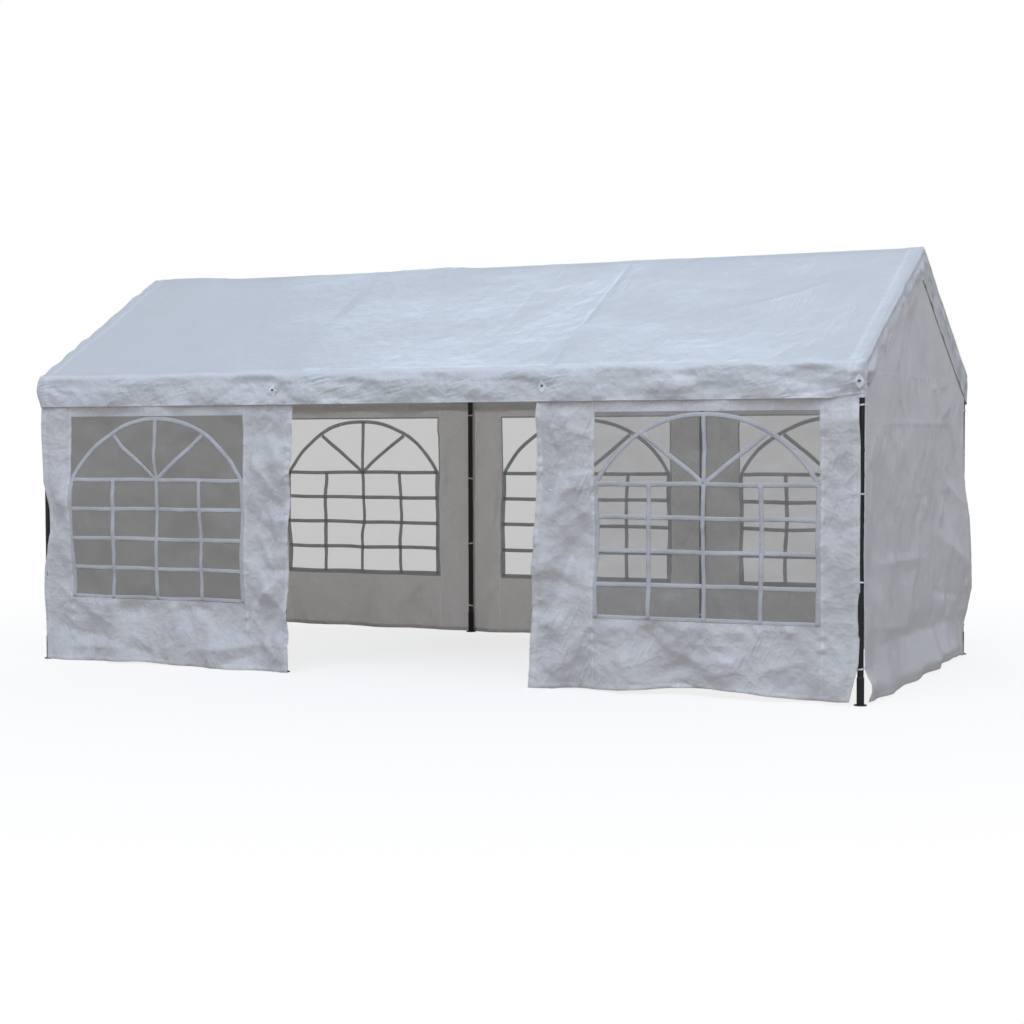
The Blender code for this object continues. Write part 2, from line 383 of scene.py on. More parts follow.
def creased_sheet_group():
    """Woven sheet that has been folded and crumpled, as a height in metres and a tone from 0 to 1.

    Height: two nets of cones at Crumple Scale and 2.6 times it, each with Crumple Slope; ridged streaks
    with Streak Slope, in worn places only; and two crossed sines of Weave Pitch.
    Tone: clouds, two crossed sets of long thin stripes, and the peaks of the streaks, lighter partly as
    whitened creases and partly as a painted highlight on their ridges."""
    tree, into, out = group(
        "creased_sheet",
        [("Vector", "NodeSocketVector"), ("Crumple Scale", "NodeSocketFloat"),
         ("Crumple Slope", "NodeSocketFloat"), ("Streak Slope", "NodeSocketFloat"),
         ("Streak Turn", "NodeSocketFloat"), ("Weave Pitch", "NodeSocketFloat")],
        [("Height", "NodeSocketFloat"), ("Tone", "NodeSocketFloat")],
    )

    def math(operation, first, second=0.0, third=0.0):
        return node(tree, "ShaderNodeMath", operation=operation, _0=first, _1=second, _2=third).outputs[0]

    place = into.outputs["Vector"]
    scale = into.outputs["Crumple Scale"]
    slope = into.outputs["Crumple Slope"]
    bend = node(tree, "ShaderNodeTexNoise", Vector=place, Scale=7.0, Detail=1.0)
    bent = node(tree, "ShaderNodeVectorMath", operation="MULTIPLY_ADD", _0=bend.outputs["Color"],
                _1=(0.07, 0.07, 0.0), _2=place)
    height = 0.0
    for ratio in (1.0, 2.6):
        fine = math("MULTIPLY", scale, ratio)
        net = node(tree, "ShaderNodeTexVoronoi", voronoi_dimensions="2D", Vector=bent.outputs[0],
                   Scale=fine, Detail=0.0)
        size = math("DIVIDE", slope, fine)
        height = math("MULTIPLY_ADD", net.outputs["Distance"], size, height)
    turned = node(tree, "ShaderNodeVectorRotate", rotation_type="Z_AXIS", Vector=place,
                  Angle=into.outputs["Streak Turn"])
    where = node(tree, "ShaderNodeTexNoise", noise_dimensions="2D", Vector=place, Scale=2.4, Detail=1.0)
    worn = node(tree, "ShaderNodeMapRange", Value=where.outputs["Fac"], From_Min=0.46, From_Max=0.64)
    streak_height = math("MULTIPLY", into.outputs["Streak Slope"], 0.012)
    streak_height = math("MULTIPLY", streak_height, worn.outputs["Result"])
    lines = 0.0
    for spread, seed in ((0.35, 0.0), (-0.55, 4.0)):
        lean = node(tree, "ShaderNodeMapping", Vector=turned.outputs[0], Rotation=(0, 0, spread),
                    Location=(seed, 0, 0), Scale=(34.0, 5.0, 1.0))
        streak = node(tree, "ShaderNodeTexNoise", noise_type="RIDGED_MULTIFRACTAL", normalize=True,
                      noise_dimensions="2D", Vector=lean.outputs[0], Scale=1.0, Detail=2.0, Roughness=0.6)
        height = math("MULTIPLY_ADD", streak.outputs["Fac"], streak_height, height)
        # Peaks of the streaks, made lighter: partly whitened creases, partly a painted highlight on their
        # ridges.
        ridge_whitening_and_highlight = node(tree, "ShaderNodeMapRange", Value=streak.outputs["Fac"], From_Min=0.70, From_Max=0.95)
        lines = math("MULTIPLY_ADD", ridge_whitening_and_highlight.outputs["Result"], worn.outputs["Result"], lines)
    axes = node(tree, "ShaderNodeSeparateXYZ", Vector=place)
    rate = math("DIVIDE", 2 * np.pi, into.outputs["Weave Pitch"])
    warp, weft = [math("SINE", math("MULTIPLY", axes.outputs[axis], rate)) for axis in "XY"]
    height = math("MULTIPLY_ADD", math("MULTIPLY", warp, weft), 0.00004, height)
    stripes = 0.0
    for stretch in ((160.0, 4.0, 1.0), (4.0, 160.0, 1.0)):
        long = node(tree, "ShaderNodeMapping", Vector=place, Scale=stretch)
        tapes = node(tree, "ShaderNodeTexNoise", noise_dimensions="2D", Vector=long.outputs[0],
                     Scale=1.0, Detail=1.0)
        stripes = math("ADD", tapes.outputs["Fac"], stripes)
    cloud = node(tree, "ShaderNodeTexNoise", Vector=place, Scale=3.0, Detail=5.0, Roughness=0.6)
    tone = math("MULTIPLY_ADD", stripes, 0.5, cloud.outputs["Fac"])
    # Adds those lighter lines, whitening and painted highlight, to the tone.
    tone = math("MULTIPLY_ADD", lines, 0.25, tone)
    level = node(tree, "ShaderNodeMapRange", Value=tone, From_Min=0.75, From_Max=1.25)
    tree.links.new(height, out.inputs["Height"])
    tree.links.new(level.outputs["Result"], out.inputs["Tone"])
    return tree


CREASED_SHEET = creased_sheet_group()


def sheet_finish(name, light, dark, glow, share, crumple_scale, crumple_slope, streak_slope, streak_turn):
    """Woven white sheet: light and dark mixed by tone, paler where doubled and along the cover's eave bends
    as a painted highlight, a share of glow let through.
    """
    made = bpy.data.materials.new(name)
    made.use_nodes = True
    tree = made.node_tree
    shader = tree.nodes["Principled BSDF"]
    chart = node(tree, "ShaderNodeUVMap", uv_map="cloth")
    cloth = node(tree, "ShaderNodeGroup", node_tree=CREASED_SHEET, Vector=chart.outputs[0],
                 Crumple_Scale=crumple_scale, Crumple_Slope=crumple_slope, Streak_Slope=streak_slope,
                 Streak_Turn=streak_turn, Weave_Pitch=0.0042)
    colour = node(tree, "ShaderNodeMix", data_type="RGBA", _0=cloth.outputs["Tone"],
                  _6=(*dark, 1), _7=(*light, 1))
    # Paler where the cloth is doubled, and along the cover's eave bends as a painted highlight.
    doubling_and_highlight = node(tree, "ShaderNodeAttribute", attribute_name="layers")
    part = node(tree, "ShaderNodeMath", operation="MULTIPLY", _0=doubling_and_highlight.outputs["Fac"], _1=0.95)
    paler = node(tree, "ShaderNodeMix", data_type="RGBA", _0=part.outputs[0], _6=colour.outputs[2],
                 _7=(0.95, 0.95, 0.95, 1))
    bump = node(tree, "ShaderNodeBump", Height=cloth.outputs["Height"], Distance=1.0, Strength=1.0)
    shine = node(tree, "ShaderNodeMapRange", Value=cloth.outputs["Tone"], To_Min=0.46, To_Max=0.32)
    tree.links.new(paler.outputs[2], shader.inputs["Base Color"])
    tree.links.new(shine.outputs["Result"], shader.inputs["Roughness"])
    tree.links.new(bump.outputs[0], shader.inputs["Normal"])
    through = node(tree, "ShaderNodeBsdfTranslucent", Color=(*glow, 1), Normal=bump.outputs[0])
    mix = node(tree, "ShaderNodeMixShader", Fac=share, _1=shader.outputs[0], _2=through.outputs[0])
    tree.links.new(mix.outputs[0], tree.nodes["Material Output"].inputs["Surface"])
    return made


def pane_finish():
    """Clear vinyl gone milky: a half seen-through grey, with a painted reflection of the sky along its
    wrinkles, where it is lighter and less seen-through.
    """
    made = bpy.data.materials.new("window_pane_finish")
    made.use_nodes = True
    tree = made.node_tree
    shader = tree.nodes["Principled BSDF"]
    chart = node(tree, "ShaderNodeUVMap", uv_map="cloth")
    cloth = node(tree, "ShaderNodeGroup", node_tree=CREASED_SHEET, Vector=chart.outputs[0],
                 Crumple_Scale=11.0, Crumple_Slope=0.06, Streak_Slope=0.20, Streak_Turn=0.25,
                 Weave_Pitch=0.004)
    lean = node(tree, "ShaderNodeMapping", Vector=chart.outputs[0], Rotation=(0, 0, 0.7),
                Scale=(3.2, 0.9, 1.0))
    wrinkle = node(tree, "ShaderNodeTexNoise", noise_type="RIDGED_MULTIFRACTAL", normalize=True,
                   Vector=lean.outputs[0], Scale=3.0, Detail=5.0, Roughness=0.55, Distortion=0.4)
    cloud = node(tree, "ShaderNodeTexNoise", Vector=chart.outputs[0], Scale=2.3, Detail=2.0)
    # Painted reflection of the sky: streaks along the wrinkles, in cloudy patches.
    streak = node(tree, "ShaderNodeMapRange", Value=wrinkle.outputs["Fac"], From_Min=0.52, From_Max=0.82)
    where = node(tree, "ShaderNodeMapRange", Value=cloud.outputs["Fac"], From_Min=0.42, From_Max=0.66)
    sky_reflection_streaks = node(tree, "ShaderNodeMath", operation="MULTIPLY", _0=streak.outputs["Result"],
                _1=where.outputs["Result"])
    # Less see-through and lighter along the streaks as painted reflection; the least, 0.47, is the pane's
    # own haze.
    haze_and_sky_reflection = node(tree, "ShaderNodeMapRange", Value=sky_reflection_streaks.outputs[0], To_Min=0.47, To_Max=0.82)
    colour = node(tree, "ShaderNodeMix", data_type="RGBA", _0=sky_reflection_streaks.outputs[0],
                  _6=(0.265, 0.255, 0.24, 1), _7=(0.66, 0.65, 0.64, 1))
    bump = node(tree, "ShaderNodeBump", Height=cloth.outputs["Height"], Distance=1.0, Strength=1.0)
    tree.links.new(colour.outputs[2], shader.inputs["Base Color"])
    tree.links.new(haze_and_sky_reflection.outputs["Result"], shader.inputs["Alpha"])
    tree.links.new(bump.outputs[0], shader.inputs["Normal"])
    shader.inputs["Roughness"].default_value = 0.22
    return made


def plain_finish(name, colour, roughness, grain):
    """One colour with a fine grain in its bump and a cloudy roughness."""
    made = bpy.data.materials.new(name)
    made.use_nodes = True
    tree = made.node_tree
    shader = tree.nodes["Principled BSDF"]
    place = node(tree, "ShaderNodeTexCoord")
    speck = node(tree, "ShaderNodeTexNoise", Vector=place.outputs["Object"], Scale=900.0, Detail=2.0)
    cloud = node(tree, "ShaderNodeTexNoise", Vector=place.outputs["Object"], Scale=14.0, Detail=4.0)
    bump = node(tree, "ShaderNodeBump", Height=speck.outputs["Fac"], Distance=grain, Strength=1.0)
    rough = node(tree, "ShaderNodeMapRange", Value=cloud.outputs["Fac"],
                 To_Min=roughness - 0.1, To_Max=roughness + 0.12)
    tree.links.new(rough.outputs["Result"], shader.inputs["Roughness"])
    tree.links.new(bump.outputs[0], shader.inputs["Normal"])
    shader.inputs["Base Color"].default_value = (*colour, 1)
    return made


WARM_GLOW = (0.90, 0.80, 0.68)
ROOF = sheet_finish("roof_sheet_finish", (0.82, 0.83, 0.84), (0.785, 0.79, 0.80), WARM_GLOW, share=0.26,
                    crumple_scale=9.0, crumple_slope=0.03, streak_slope=0.20, streak_turn=0.0)
VALANCE = sheet_finish("valance_sheet_finish", (0.82, 0.83, 0.84), (0.77, 0.78, 0.79), WARM_GLOW, share=0.22,
                       crumple_scale=12.0, crumple_slope=0.075, streak_slope=0.32, streak_turn=1.35)
WALL = sheet_finish("wall_sheet_finish", (0.84, 0.835, 0.84), (0.78, 0.775, 0.78), WARM_GLOW, share=0.28,
                    crumple_scale=13.0, crumple_slope=0.085, streak_slope=0.38, streak_turn=0.4)
END = sheet_finish("end_wall_finish", (0.84, 0.835, 0.84), (0.79, 0.785, 0.79), WARM_GLOW, share=0.28,
                   crumple_scale=9.0, crumple_slope=0.03, streak_slope=0.12, streak_turn=0.2)
TAPE = sheet_finish("window_bar_finish", (0.80, 0.80, 0.82), (0.74, 0.74, 0.76), (0.95, 0.94, 0.92),
                    share=0.48, crumple_scale=20.0, crumple_slope=0.05, streak_slope=0.15, streak_turn=0.0)
PATCH = sheet_finish("patch_finish", (0.90, 0.90, 0.91), (0.86, 0.86, 0.87), (0.80, 0.78, 0.74),
                     share=0.05, crumple_scale=40.0, crumple_slope=0.05, streak_slope=0.1, streak_turn=0.0)
PANE = pane_finish()
TUBE = plain_finish("tube_finish", (0.014, 0.015, 0.018), 0.4, 0.00008)
ELASTIC = plain_finish("elastic_finish", (0.8, 0.8, 0.8), 0.6, 0.0003)
# Near-black eyelets: the shade of each eyelet's hole painted onto the ring.
EYELET_HOLE_SHADE = plain_finish("eyelet_hole_shade_finish", (0.05, 0.05, 0.055), 0.35, 0.0)


# The roof cover

def sharp_place(x, s, drop):
    """The point on the cover's sharp-edged form: s from the ridge down a slope and on down the valance.

    At the end of the ridge the drop hangs straight down the gable. Past that end a place on the valance
    goes on round the upright corner."""
    down = np.minimum(np.abs(s), SLOPE)
    beyond = np.maximum(np.abs(x) - HALF_LENGTH, 0)
    y = np.sign(s) * (down * np.cos(PITCH) - beyond)
    z = RIDGE_TOP - down * np.sin(PITCH) - np.maximum(np.abs(s) - SLOPE, 0) - drop
    return np.stack(np.broadcast_arrays(np.clip(x, -HALF_LENGTH, HALF_LENGTH), y, z), -1)


def rounded(points):
    """Rounds the sharp form: each point goes EDGE_ROUND out from the nearest point of a smaller form.

    Returns the points and their outward normals."""
    length = HALF_LENGTH - EDGE_ROUND
    width = HALF_WIDTH - EDGE_ROUND
    ridge = RIDGE_TOP - EDGE_ROUND / np.cos(PITCH)
    slope = width / np.cos(PITCH)
    eave = ridge - slope * np.sin(PITCH)
    x, y, z = points[..., 0], np.abs(points[..., 1]), points[..., 2]
    side = np.where(points[..., 1] < 0, -1.0, 1.0)
    down = y * np.cos(PITCH) - (z - ridge) * np.sin(PITCH)
    above = y * np.sin(PITCH) + (z - ridge) * np.cos(PITCH)
    on_slope = np.clip(down, 0, slope)
    core_y = np.where(above < 0, np.minimum(y, width), on_slope * np.cos(PITCH))
    core_z = np.where(above < 0, z, ridge - on_slope * np.sin(PITCH))
    past_eave = (down > slope) & (z < eave)
    core_y = np.where(past_eave, width, core_y)
    core_z = np.where(past_eave, z, core_z)
    core = np.stack([np.clip(x, -length, length), side * core_y, core_z], -1)
    out = points - core
    normal = out / np.maximum(np.linalg.norm(out, axis=-1, keepdims=True), 1e-9)
    return core + EDGE_ROUND * normal, normal


# Creases of the cover: x and place over the roof at each end, widths right and left of the line, height.
# They are also laid on the other slope, turned end for end.
COVER_CREASES = [
    (1.45, -1.05, 2.85, -0.30, (0.03, 0.012), -0.008),
    (-0.37, -0.07, -0.28, -1.06, (0.03, 0.012), 0.004),
    (-0.02, -0.22, -0.05, -1.13, 0.014, 0.004),
    (0.42, -0.20, 0.39, -1.12, (0.012, 0.03), 0.005),
    (2.45, -1.61, 2.58, -1.30, 0.014, 0.005),
    (2.59, -1.60, 2.66, -1.30, 0.014, 0.005),
    (-2.86, -1.24, -2.42, -1.62, (0.03, 0.015), 0.007),
    (-2.99, -1.52, -2.60, -1.68, (0.03, 0.015), 0.006),
    (-0.28, -1.44, -0.26, -1.70, 0.012, 0.004),
    (1.62, -1.60, 1.62, -1.80, 0.012, 0.004),
    (2.25, -1.72, 3.00, -1.86, (0.010, 0.02), -0.009),
    (2.35, -1.70, 3.00, -1.80, 0.012, 0.010),
    (2.45, -1.69, 2.98, -1.75, 0.010, -0.006),
    (2.62, -1.86, 3.00, -1.82, 0.010, -0.006),
    (1.28, -1.73, 1.54, -1.85, 0.012, -0.004),
    (-2.98, -1.72, -2.70, -1.86, 0.016, -0.008),
    (-2.95, -1.76, -2.55, -1.80, 0.016, 0.008),
]

# Soft pushes on the cover and the end walls: centre, push, reach
BULGES = [
    ((HALF_LENGTH, 0.0, RIDGE_TOP), (0.008, 0.0, 0.004), 0.75),
    ((-HALF_LENGTH, 0.0, RIDGE_TOP), (-0.050, 0.0, 0.022), 1.1),
    ((-HALF_LENGTH, -HALF_WIDTH, VALANCE_BOTTOM + 0.12), (-0.030, -0.014, 0.0), 0.09),
    ((-HALF_LENGTH, HALF_WIDTH, VALANCE_BOTTOM + 0.11), (-0.018, 0.010, 0.0), 0.09),
]


def bulge(points):
    """Moves points by soft pushes that fade as exp(-(distance / reach)^2)."""
    moved = points
    for centre, push, reach in BULGES:
        near = bell(np.linalg.norm(points - np.array(centre), axis=-1), reach)
        moved = moved + near[..., None] * np.array(push)
    return moved


def cover_guard(point):
    """The least lift of the cover, which rests on the tubes and on their fittings.

    Over a tube it is -4 mm, and it falls away with the distance along the sheet from the line of contact."""
    x, y, z = point[..., 0], point[..., 1], point[..., 2]
    to_arch = np.min([np.abs(x - leg) for leg in LEG_X], 0)
    above = np.abs(y) * np.sin(PITCH) + (z - RIDGE_AXIS) * np.cos(PITCH)
    to_rail = np.minimum(np.hypot(y, z - RIDGE_AXIS), np.hypot(np.abs(y) - LEG_Y, z - EAVE_AXIS))
    to_tube = np.minimum(to_rail, np.hypot(to_arch, above))
    along = np.sqrt(np.maximum(to_tube ** 2 - TUBE_CLEAR ** 2, 0))
    to_fitting = np.hypot(to_rail, to_arch)
    guard = -0.004 - SLACK * (1 - bell(along, 0.055))
    guard += 0.0025 * (1 - ease(0.05, 0.11, to_fitting))
    hanging = np.maximum(RIDGE_TOP - np.abs(y) * np.tan(PITCH) - z, 0)
    return np.maximum(guard, -0.003 - SLACK * (1 - ease(0.01, 0.03, hanging)))


def slope_lift(x, s):
    """The slopes: a sag in each bay, long waves, soft facets, and short creases down and along the roof."""
    bay = np.abs(np.sin(np.pi * (x - LEG_X[0]) / BAY)) * (np.abs(x) < -LEG_X[0])
    field = -0.008 - 0.028 * bay * np.sin(np.pi * np.clip(np.abs(s) / SLOPE, 0, 1))
    field = field + 0.0045 * waves(1, x, s, 0.9) + crumple(2, x, s, 0.40, 0.016)
    low, high = (-3.1, -SLOPE), (3.1, SLOPE)
    down = scattered(3, 260, low, high, length=(0.12, 0.6), width=(0.010, 0.018), height=(-0.0022, 0.0030),
                     heading=np.pi / 2, spread=0.6)
    along = scattered(4, 70, low, high, length=(0.2, 0.9), width=(0.010, 0.02), height=(-0.0025, 0.0025),
                      heading=0.0, spread=0.5)
    return field + creases(x, s, down) + creases(x, s, along)


def edge_lift(x, s):
    """The rounded edges: waves and facets along the eaves and along the gables. The left gable is looser."""
    eave = 0.006 + 0.006 * waves(5, x, 0 * s, 0.42, 0.0, 0.2) + crumple(70, x, 0.5 * s, 0.11, 0.05, 2)
    ripple = 0.004 * waves(15, 0 * x, s, 0.26, np.pi / 2, 0.2) + crumple(72, 0.5 * x, s, 0.10, 0.05, 2)
    gable = 0.004 + ripple * np.where(x > 0, 0.25, 0.9)
    return bell(np.abs(s) - SLOPE, 0.035) * eave + bell(np.abs(x) - HALF_LENGTH, 0.035) * gable


def valance_lift(x, s, valance):
    """The valances: a pillow between eave and hem, and a hem that stands out."""
    pillow = np.sin(np.pi * np.clip(valance, 0, 1) ** 0.8)
    field = (0.018 + 0.010 * waves(6, x, 0.5 * s, 0.7, 0.0, 0.4)) * pillow
    stand = 0.014 + 0.007 * waves(7, x, s, 0.8, 0.0, 0.3)
    return field + stand * ease(0.2, 1.0, np.clip(valance, 0, 1))


def hanging_crumple(x, s):
    """What hangs: patchy facets of two sizes, short creases, and folds that fan out from the patches."""
    field = crumple(8, x, 1.8 * s, 0.34, 0.085, 2) * patchy(16, x, s, 0.9, 0.5)
    field = field + crumple(88, x, 1.6 * s, 0.09, 0.05, 2) * patchy(17, x, s, 0.5, 0.2)
    for seed, near, far in ((9, -SLOPE - VALANCE_DROP, -SLOPE), (10, SLOPE, SLOPE + VALANCE_DROP)):
        lines = scattered(seed, 150, (-3, near), (3, far), length=(0.05, 0.35), width=(0.007, 0.014),
                          height=(-0.005, 0.005), heading=0.0, spread=0.6)
        field += creases(x, s, lines)
    for leg in LEG_X:
        for side in (-1, 1):
            spot = (leg, side * (SLOPE + PATCH_DROP))
            field += fan(x, s, spot, side * np.pi / 2, 1.2, 0.4, 9, 0.004)
    return field


def cover_lift(x, s):
    """How far the cover stands off its even form at x along the ridge and s over it."""
    past_end = np.abs(x) - HALF_LENGTH
    valance = (np.abs(s) - SLOPE) / VALANCE_DROP
    rake = past_end / VALANCE_DROP
    hang = np.clip(np.maximum(valance, rake), 0, 1)
    flat = 1 - ease(0, 0.12, hang)
    field = slope_lift(x, s) * flat + edge_lift(x, s) + valance_lift(x, s, valance)
    field += 1.4 * (creases(x, s, COVER_CREASES) + creases(-x, -s, COVER_CREASES))
    field += hanging_crumple(x, s) * ease(0.05, 0.35, hang)
    hung = np.clip(rake, 0, 1)
    field += (0.004 + 0.004 * waves(12, 0 * x, s, 0.7, np.pi / 2, 0.3)) * hung * (1 - hung) * 4
    field += 0.006 * bell(past_end - 0.10, 0.02) - 0.008 * bell(past_end - 0.05, 0.014)
    field = np.where(rake > 0, field * (1 - 0.6 * ease(0.6, 1.0, hung)) - 0.002 * hung, field)
    seam = past_end + RAKE_BAND
    field += 0.0014 * ease(-0.003, 0.003, seam) * flat
    field += 0.0015 * bell(seam, 0.03) * waves(13, 0 * x, s, 0.06, np.pi / 2, 0.2) * flat
    eave_seam = np.abs(s) - SLOPE - EAVE_SEAM
    field -= 0.0025 * bell(eave_seam, 0.006) * (rake < 0)
    field += 0.0018 * bell(eave_seam, 0.025) * waves(14, x, 0 * s, 0.055, 0.0, 0.2) * (rake < 0)
    return field


def cover_doubling_and_eave_highlight(x, s):
    """How far the cover pales, 0 to 1: where it is doubled by the gables, at the seams there and in the hem,
    and along the eave bends as a painted highlight.
    """
    past_end = np.abs(x) - HALF_LENGTH
    past_eave = np.abs(s) - SLOPE
    edge = ease(-0.004, 0.004, past_end + RAKE_BAND) * (1 - 0.6 * ease(0.03, 0.06, past_end))
    seam = bell(past_end + RAKE_BAND, 0.007)
    hem = ease(HEM_LINE - LINE_HALF, HEM_LINE + LINE_HALF, np.maximum(past_eave, past_end))
    # The last term pales the eave bends as a painted highlight; the others are doubled cloth.
    return np.clip(0.15 * edge + 0.9 * seam + 0.4 * hem + 0.8 * bell(past_eave, 0.018), 0, 1)


def cover_point(x, s, drop, extra=0.0):
    """A point of the finished cover, and one lifted extra off it where asked."""
    sharp = sharp_place(x, s, drop)
    even, normal = rounded(sharp)
    beyond = np.sign(x) * drop
    corner = np.hypot(np.abs(sharp[..., 0]) - HALF_LENGTH, np.abs(sharp[..., 1]) - HALF_WIDTH)
    lift = at_least(cover_guard(bulge(even)), cover_lift(x + beyond, s) * ease(0, 0.06, corner))
    return bulge(even + (lift + extra)[..., None] * normal)


def roof_cover():
    """One sheet over the whole roof, with the valances and the strips that hang over the gables."""
    band_edge = (RAKE_BAND - 0.004, RAKE_BAND + 0.004)
    ends = [sign * (HALF_LENGTH - gap) for gap in (*ROUND_MARKS, *band_edge) for sign in (-1, 1)]
    x = stations(-HALF_LENGTH, HALF_LENGTH, COVER_STEP, *ends, *LEG_X)
    drop = stations(0, VALANCE_DROP, DROP_STEP, *ROUND_MARKS, HEM_LINE - LINE_HALF, HEM_LINE + LINE_HALF)
    bends = [sign * place for gap in ROUND_MARKS for place in (gap, SLOPE - gap) for sign in (-1, 1)]
    slope = stations(-SLOPE, SLOPE, COVER_STEP, 0, *bends)
    s = np.concatenate([-SLOPE - drop[:0:-1], slope, SLOPE + drop[1:]])
    columns, rows = np.meshgrid(x, s)
    grids = [(columns, rows, 0 * rows, np.stack([columns, rows], -1), False)]
    for end in (-1, 1):
        drops, downs = np.meshgrid(drop, slope)
        grids.append((np.full_like(downs, end * HALF_LENGTH), downs, drops,
                      np.stack([end * (HALF_LENGTH + drops), downs], -1), end < 0))
    points, sharp, chart, quads, layers, start = [], [], [], [], [], 0
    for across, down, hung, places, flip in grids:
        points.append(cover_point(across, down, hung).reshape(-1, 3))
        sharp.append(sharp_place(across, down, hung).reshape(-1, 3))
        chart.append(places.reshape(-1, 2))
        layers.append(cover_doubling_and_eave_highlight(places[..., 0], places[..., 1]).ravel())
        cells_here = grid_quads(*across.shape) + start
        quads.append(cells_here[:, ::-1] if flip else cells_here)
        start += across.size
    points, sharp, chart, quads, layers = map(np.concatenate, (points, sharp, chart, quads, layers))
    _, first, weld = np.unique(np.round(sharp, 5), axis=0, return_index=True, return_inverse=True)
    hanging = (np.abs(chart[quads, 0]).mean(1) > HALF_LENGTH) | (np.abs(chart[quads, 1]).mean(1) > SLOPE)
    piece = build("roof_cover_sheet", points[first], weld.ravel()[quads], chart[first], ROOF, "roof_sheet",
                  ["roof_cover"], layers[first], (VALANCE, hanging))
    trim = [cover_hem(), *patches()]
    return piece


def cover_hem():
    """The hem turned up inside the cover's lower edge, with its rolled fold, on all four sides."""
    ends = [sign * (HALF_LENGTH - gap) for gap in ROUND_MARKS for sign in (-1, 1)]
    x = stations(-HALF_LENGTH, HALF_LENGTH, COVER_STEP, *ends, *LEG_X)
    slope = stations(-SLOPE, SLOPE, COVER_STEP, 0)
    turn = np.linspace(0, np.pi, 7)
    rise = np.concatenate([[HEM, 0.5 * HEM, 0.006], -0.0014 * np.sin(turn), [0.004, 0.0055]])
    out = np.concatenate([[-0.0024] * 3, -0.0006 - 0.0018 * np.cos(turn), [0.0008, 0.0001]])
    grids = []
    for side in (-1, 1):
        across, up = np.meshgrid(x, rise)
        down = side * (SLOPE + VALANCE_DROP - up)
        grid = cover_point(across, down, 0 * down, np.broadcast_to(out[:, None], across.shape))
        chart = np.stack([across, down], -1)
        grids.append((grid, chart) if side < 0 else (grid[::-1], chart[::-1]))
        downs, up = np.meshgrid(slope, rise)
        grid = cover_point(np.full_like(downs, side * HALF_LENGTH), downs, VALANCE_DROP - up,
                           np.broadcast_to(out[:, None], downs.shape))
        chart = np.stack([side * (HALF_LENGTH + VALANCE_DROP - up), downs], -1)
        grids.append((grid, chart) if side > 0 else (grid[::-1], chart[::-1]))
    return joined("roof_cover_hem", grids, VALANCE, "roof_sheet")


def patches():
    """Diamond patches sewn on the valances over each arch, each with an eyelet painted near-black as the
    shade of its hole.
    """
    t = np.linspace(-1, 1, 13)
    a, b = np.meshgrid(t, t)
    grids, rings = [], []
    turn = np.linspace(0, 2 * np.pi, 25)
    radius = np.array([0.0025, 0.0035, 0.005, 0.0065, 0.0072])
    height = np.array([0.0040, 0.0060, 0.0065, 0.0060, 0.0045])
    across, around = np.meshgrid(radius, turn)
    crown = 0.0035 + 0.0012 * (1 - a ** 4) * (1 - b ** 4)
    for side in (-1, 1):
        for number, leg in enumerate(LEG_X):
            for grid_list, right, down, lift in (
                (grids, -side * PATCH_HALF[0] * (a - b) / 2, PATCH_HALF[1] * (a + b) / 2, crown),
                (rings, across * np.cos(around), side * (across * np.sin(around) - EYELET_DROP), height),
            ):
                lift = np.broadcast_to(lift, right.shape)
                if number:
                    x = leg - PATCH_SHIFT * (abs(leg) < BAY) + right
                    s = side * (SLOPE + PATCH_DROP) + down
                    point = cover_point(x, s, 0 * s, lift)
                else:
                    x = -HALF_LENGTH - PATCH_DROP - side * down
                    s = side * (SLOPE - GABLE_PATCH_IN) + side * right
                    point = cover_point(0 * s - HALF_LENGTH, s, PATCH_DROP + side * down, lift)
                grid_list.append((point, np.stack([x, s], -1)))
    cloth = joined("cover_patches", grids, PATCH, "roof_sheet")
    thicken(cloth, 0.0022, -1.0)
    # The rings are painted near-black for the shade of the holes.
    eyes = joined("cover_eyelets", rings, EYELET_HOLE_SHADE, "frame_fitting")
    thicken(eyes, 0.001, -1.0)
    return [cloth, eyes]


# Walls

def on_seam(aside):
    """1 on the tape of a seam and 0 beside it."""
    return 1 - ease(SEAM_HALF - STITCH_EDGE, SEAM_HALF + STITCH_EDGE, np.abs(aside))


